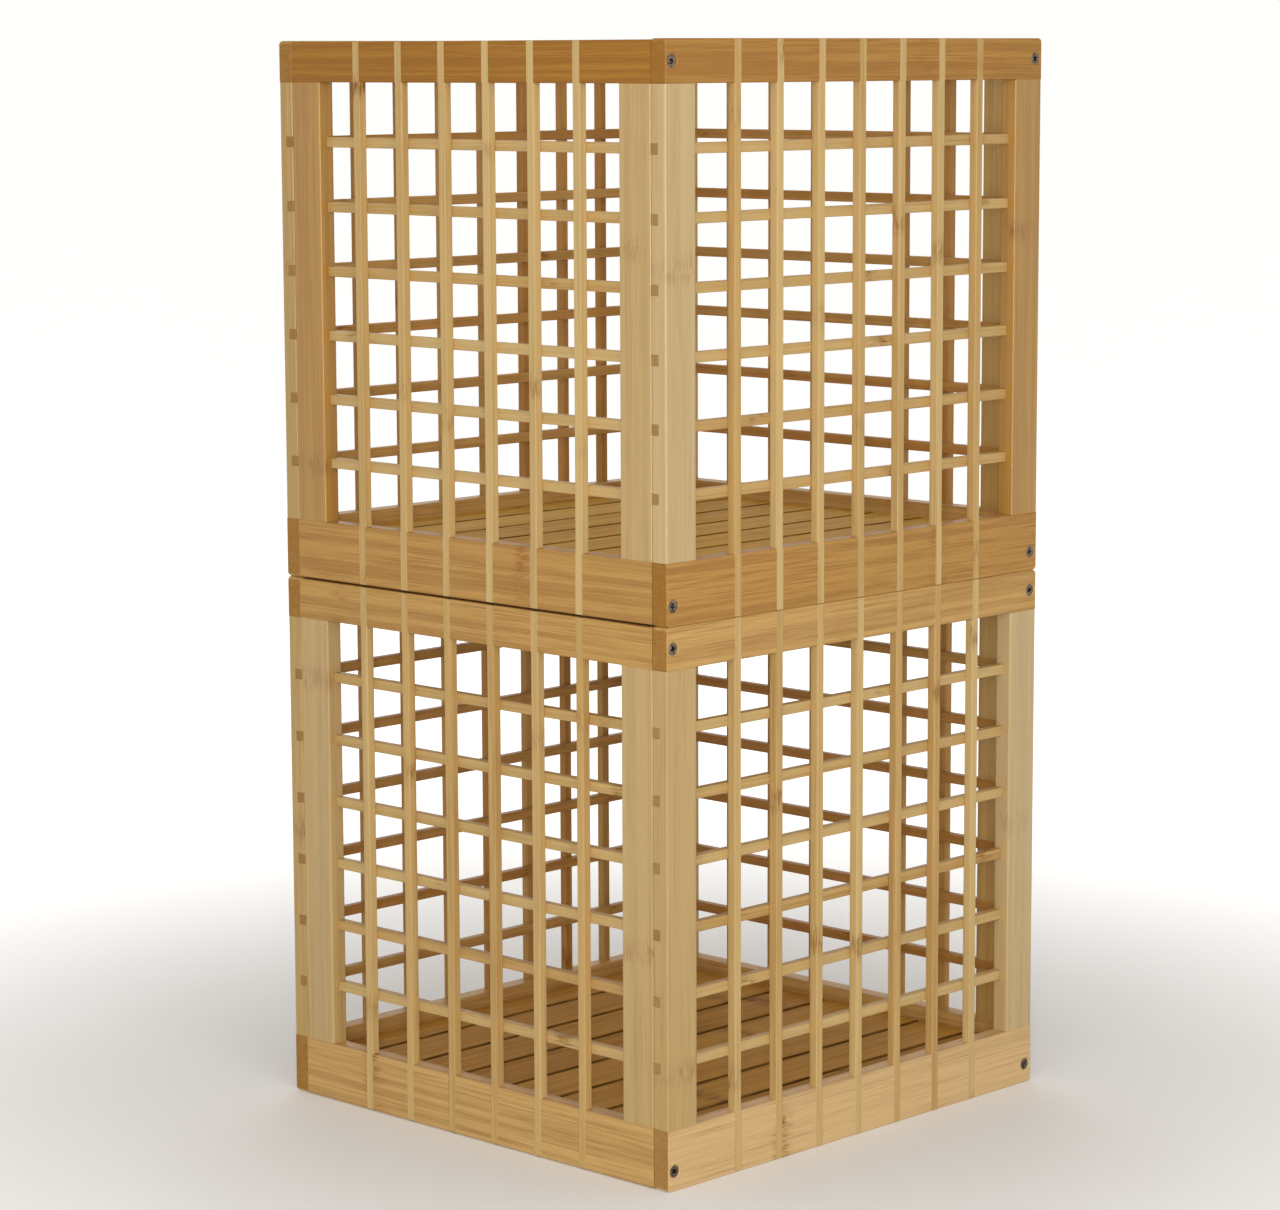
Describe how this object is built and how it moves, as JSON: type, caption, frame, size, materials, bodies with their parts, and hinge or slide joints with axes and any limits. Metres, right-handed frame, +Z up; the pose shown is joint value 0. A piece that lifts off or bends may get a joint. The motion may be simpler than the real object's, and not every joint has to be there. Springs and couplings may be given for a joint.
{
  "type": "stacking lattice storage crate",
  "caption": "Pair of identical open-topped bamboo lattice crates, one standing on the other: railed panels of crossing slats and bars, slatted floors and countersunk screws.",
  "frame": {"origin": "bottom centre of the stack, on the surface that it stands on", "axes": "+Z up; -Y out of the full-width front panel, where four of each crate's screws show; +X to the right seen from the front"},
  "size_m": [0.35, 0.339, 0.686],
  "materials": {
    "bamboo_rail": "caramel bamboo, sanded, satin clear lacquer",
    "bamboo_stile": "blond bamboo, sanded, satin clear lacquer",
    "bamboo_strip": "blond bamboo strip, sanded, satin clear lacquer",
    "bamboo_board": "caramel bamboo board, sanded, thin satin lacquer",
    "screw_steel": "dark bronze zinc plating, satin"
  },
  "bodies": {
    "lower_crate": {"lower_front_top_rail": "bamboo_rail", "lower_front_bottom_rail": "bamboo_rail", "lower_front_left_stile": "bamboo_stile", "lower_front_right_stile": "bamboo_stile", "lower_front_slats": "bamboo_strip", "lower_front_bars": "bamboo_strip", "lower_right_top_rail": "bamboo_rail", "lower_right_bottom_rail": "bamboo_rail", "lower_right_front_stile": "bamboo_stile", "lower_right_back_stile": "bamboo_stile", "lower_right_slats": "bamboo_strip", "lower_right_bars": "bamboo_strip", "lower_back_top_rail": "bamboo_rail", "lower_back_bottom_rail": "bamboo_rail", "lower_back_right_stile": "bamboo_stile", "lower_back_left_stile": "bamboo_stile", "lower_back_slats": "bamboo_strip", "lower_back_bars": "bamboo_strip", "lower_left_top_rail": "bamboo_rail", "lower_left_bottom_rail": "bamboo_rail", "lower_left_back_stile": "bamboo_stile", "lower_left_front_stile": "bamboo_stile", "lower_left_slats": "bamboo_strip", "lower_left_bars": "bamboo_strip", "lower_floor_boards": "bamboo_board", "lower_left_floor_cleat": "bamboo_board", "lower_right_floor_cleat": "bamboo_board", "lower_panel_screws": "screw_steel"},
    "upper_crate": {"upper_front_top_rail": "bamboo_rail", "upper_front_bottom_rail": "bamboo_rail", "upper_front_left_stile": "bamboo_stile", "upper_front_right_stile": "bamboo_stile", "upper_front_slats": "bamboo_strip", "upper_front_bars": "bamboo_strip", "upper_right_top_rail": "bamboo_rail", "upper_right_bottom_rail": "bamboo_rail", "upper_right_front_stile": "bamboo_stile", "upper_right_back_stile": "bamboo_stile", "upper_right_slats": "bamboo_strip", "upper_right_bars": "bamboo_strip", "upper_back_top_rail": "bamboo_rail", "upper_back_bottom_rail": "bamboo_rail", "upper_back_right_stile": "bamboo_stile", "upper_back_left_stile": "bamboo_stile", "upper_back_slats": "bamboo_strip", "upper_back_bars": "bamboo_strip", "upper_left_top_rail": "bamboo_rail", "upper_left_bottom_rail": "bamboo_rail", "upper_left_back_stile": "bamboo_stile", "upper_left_front_stile": "bamboo_stile", "upper_left_slats": "bamboo_strip", "upper_left_bars": "bamboo_strip", "upper_floor_boards": "bamboo_board", "upper_left_floor_cleat": "bamboo_board", "upper_right_floor_cleat": "bamboo_board", "upper_panel_screws": "screw_steel"}
  },
  "joints": [
    {"name": "upper_crate_lift", "type": "slide", "parent": "lower_crate", "child": "upper_crate", "axis": [0, 0, 1], "range_m": [0, 0.15]}
  ]
}
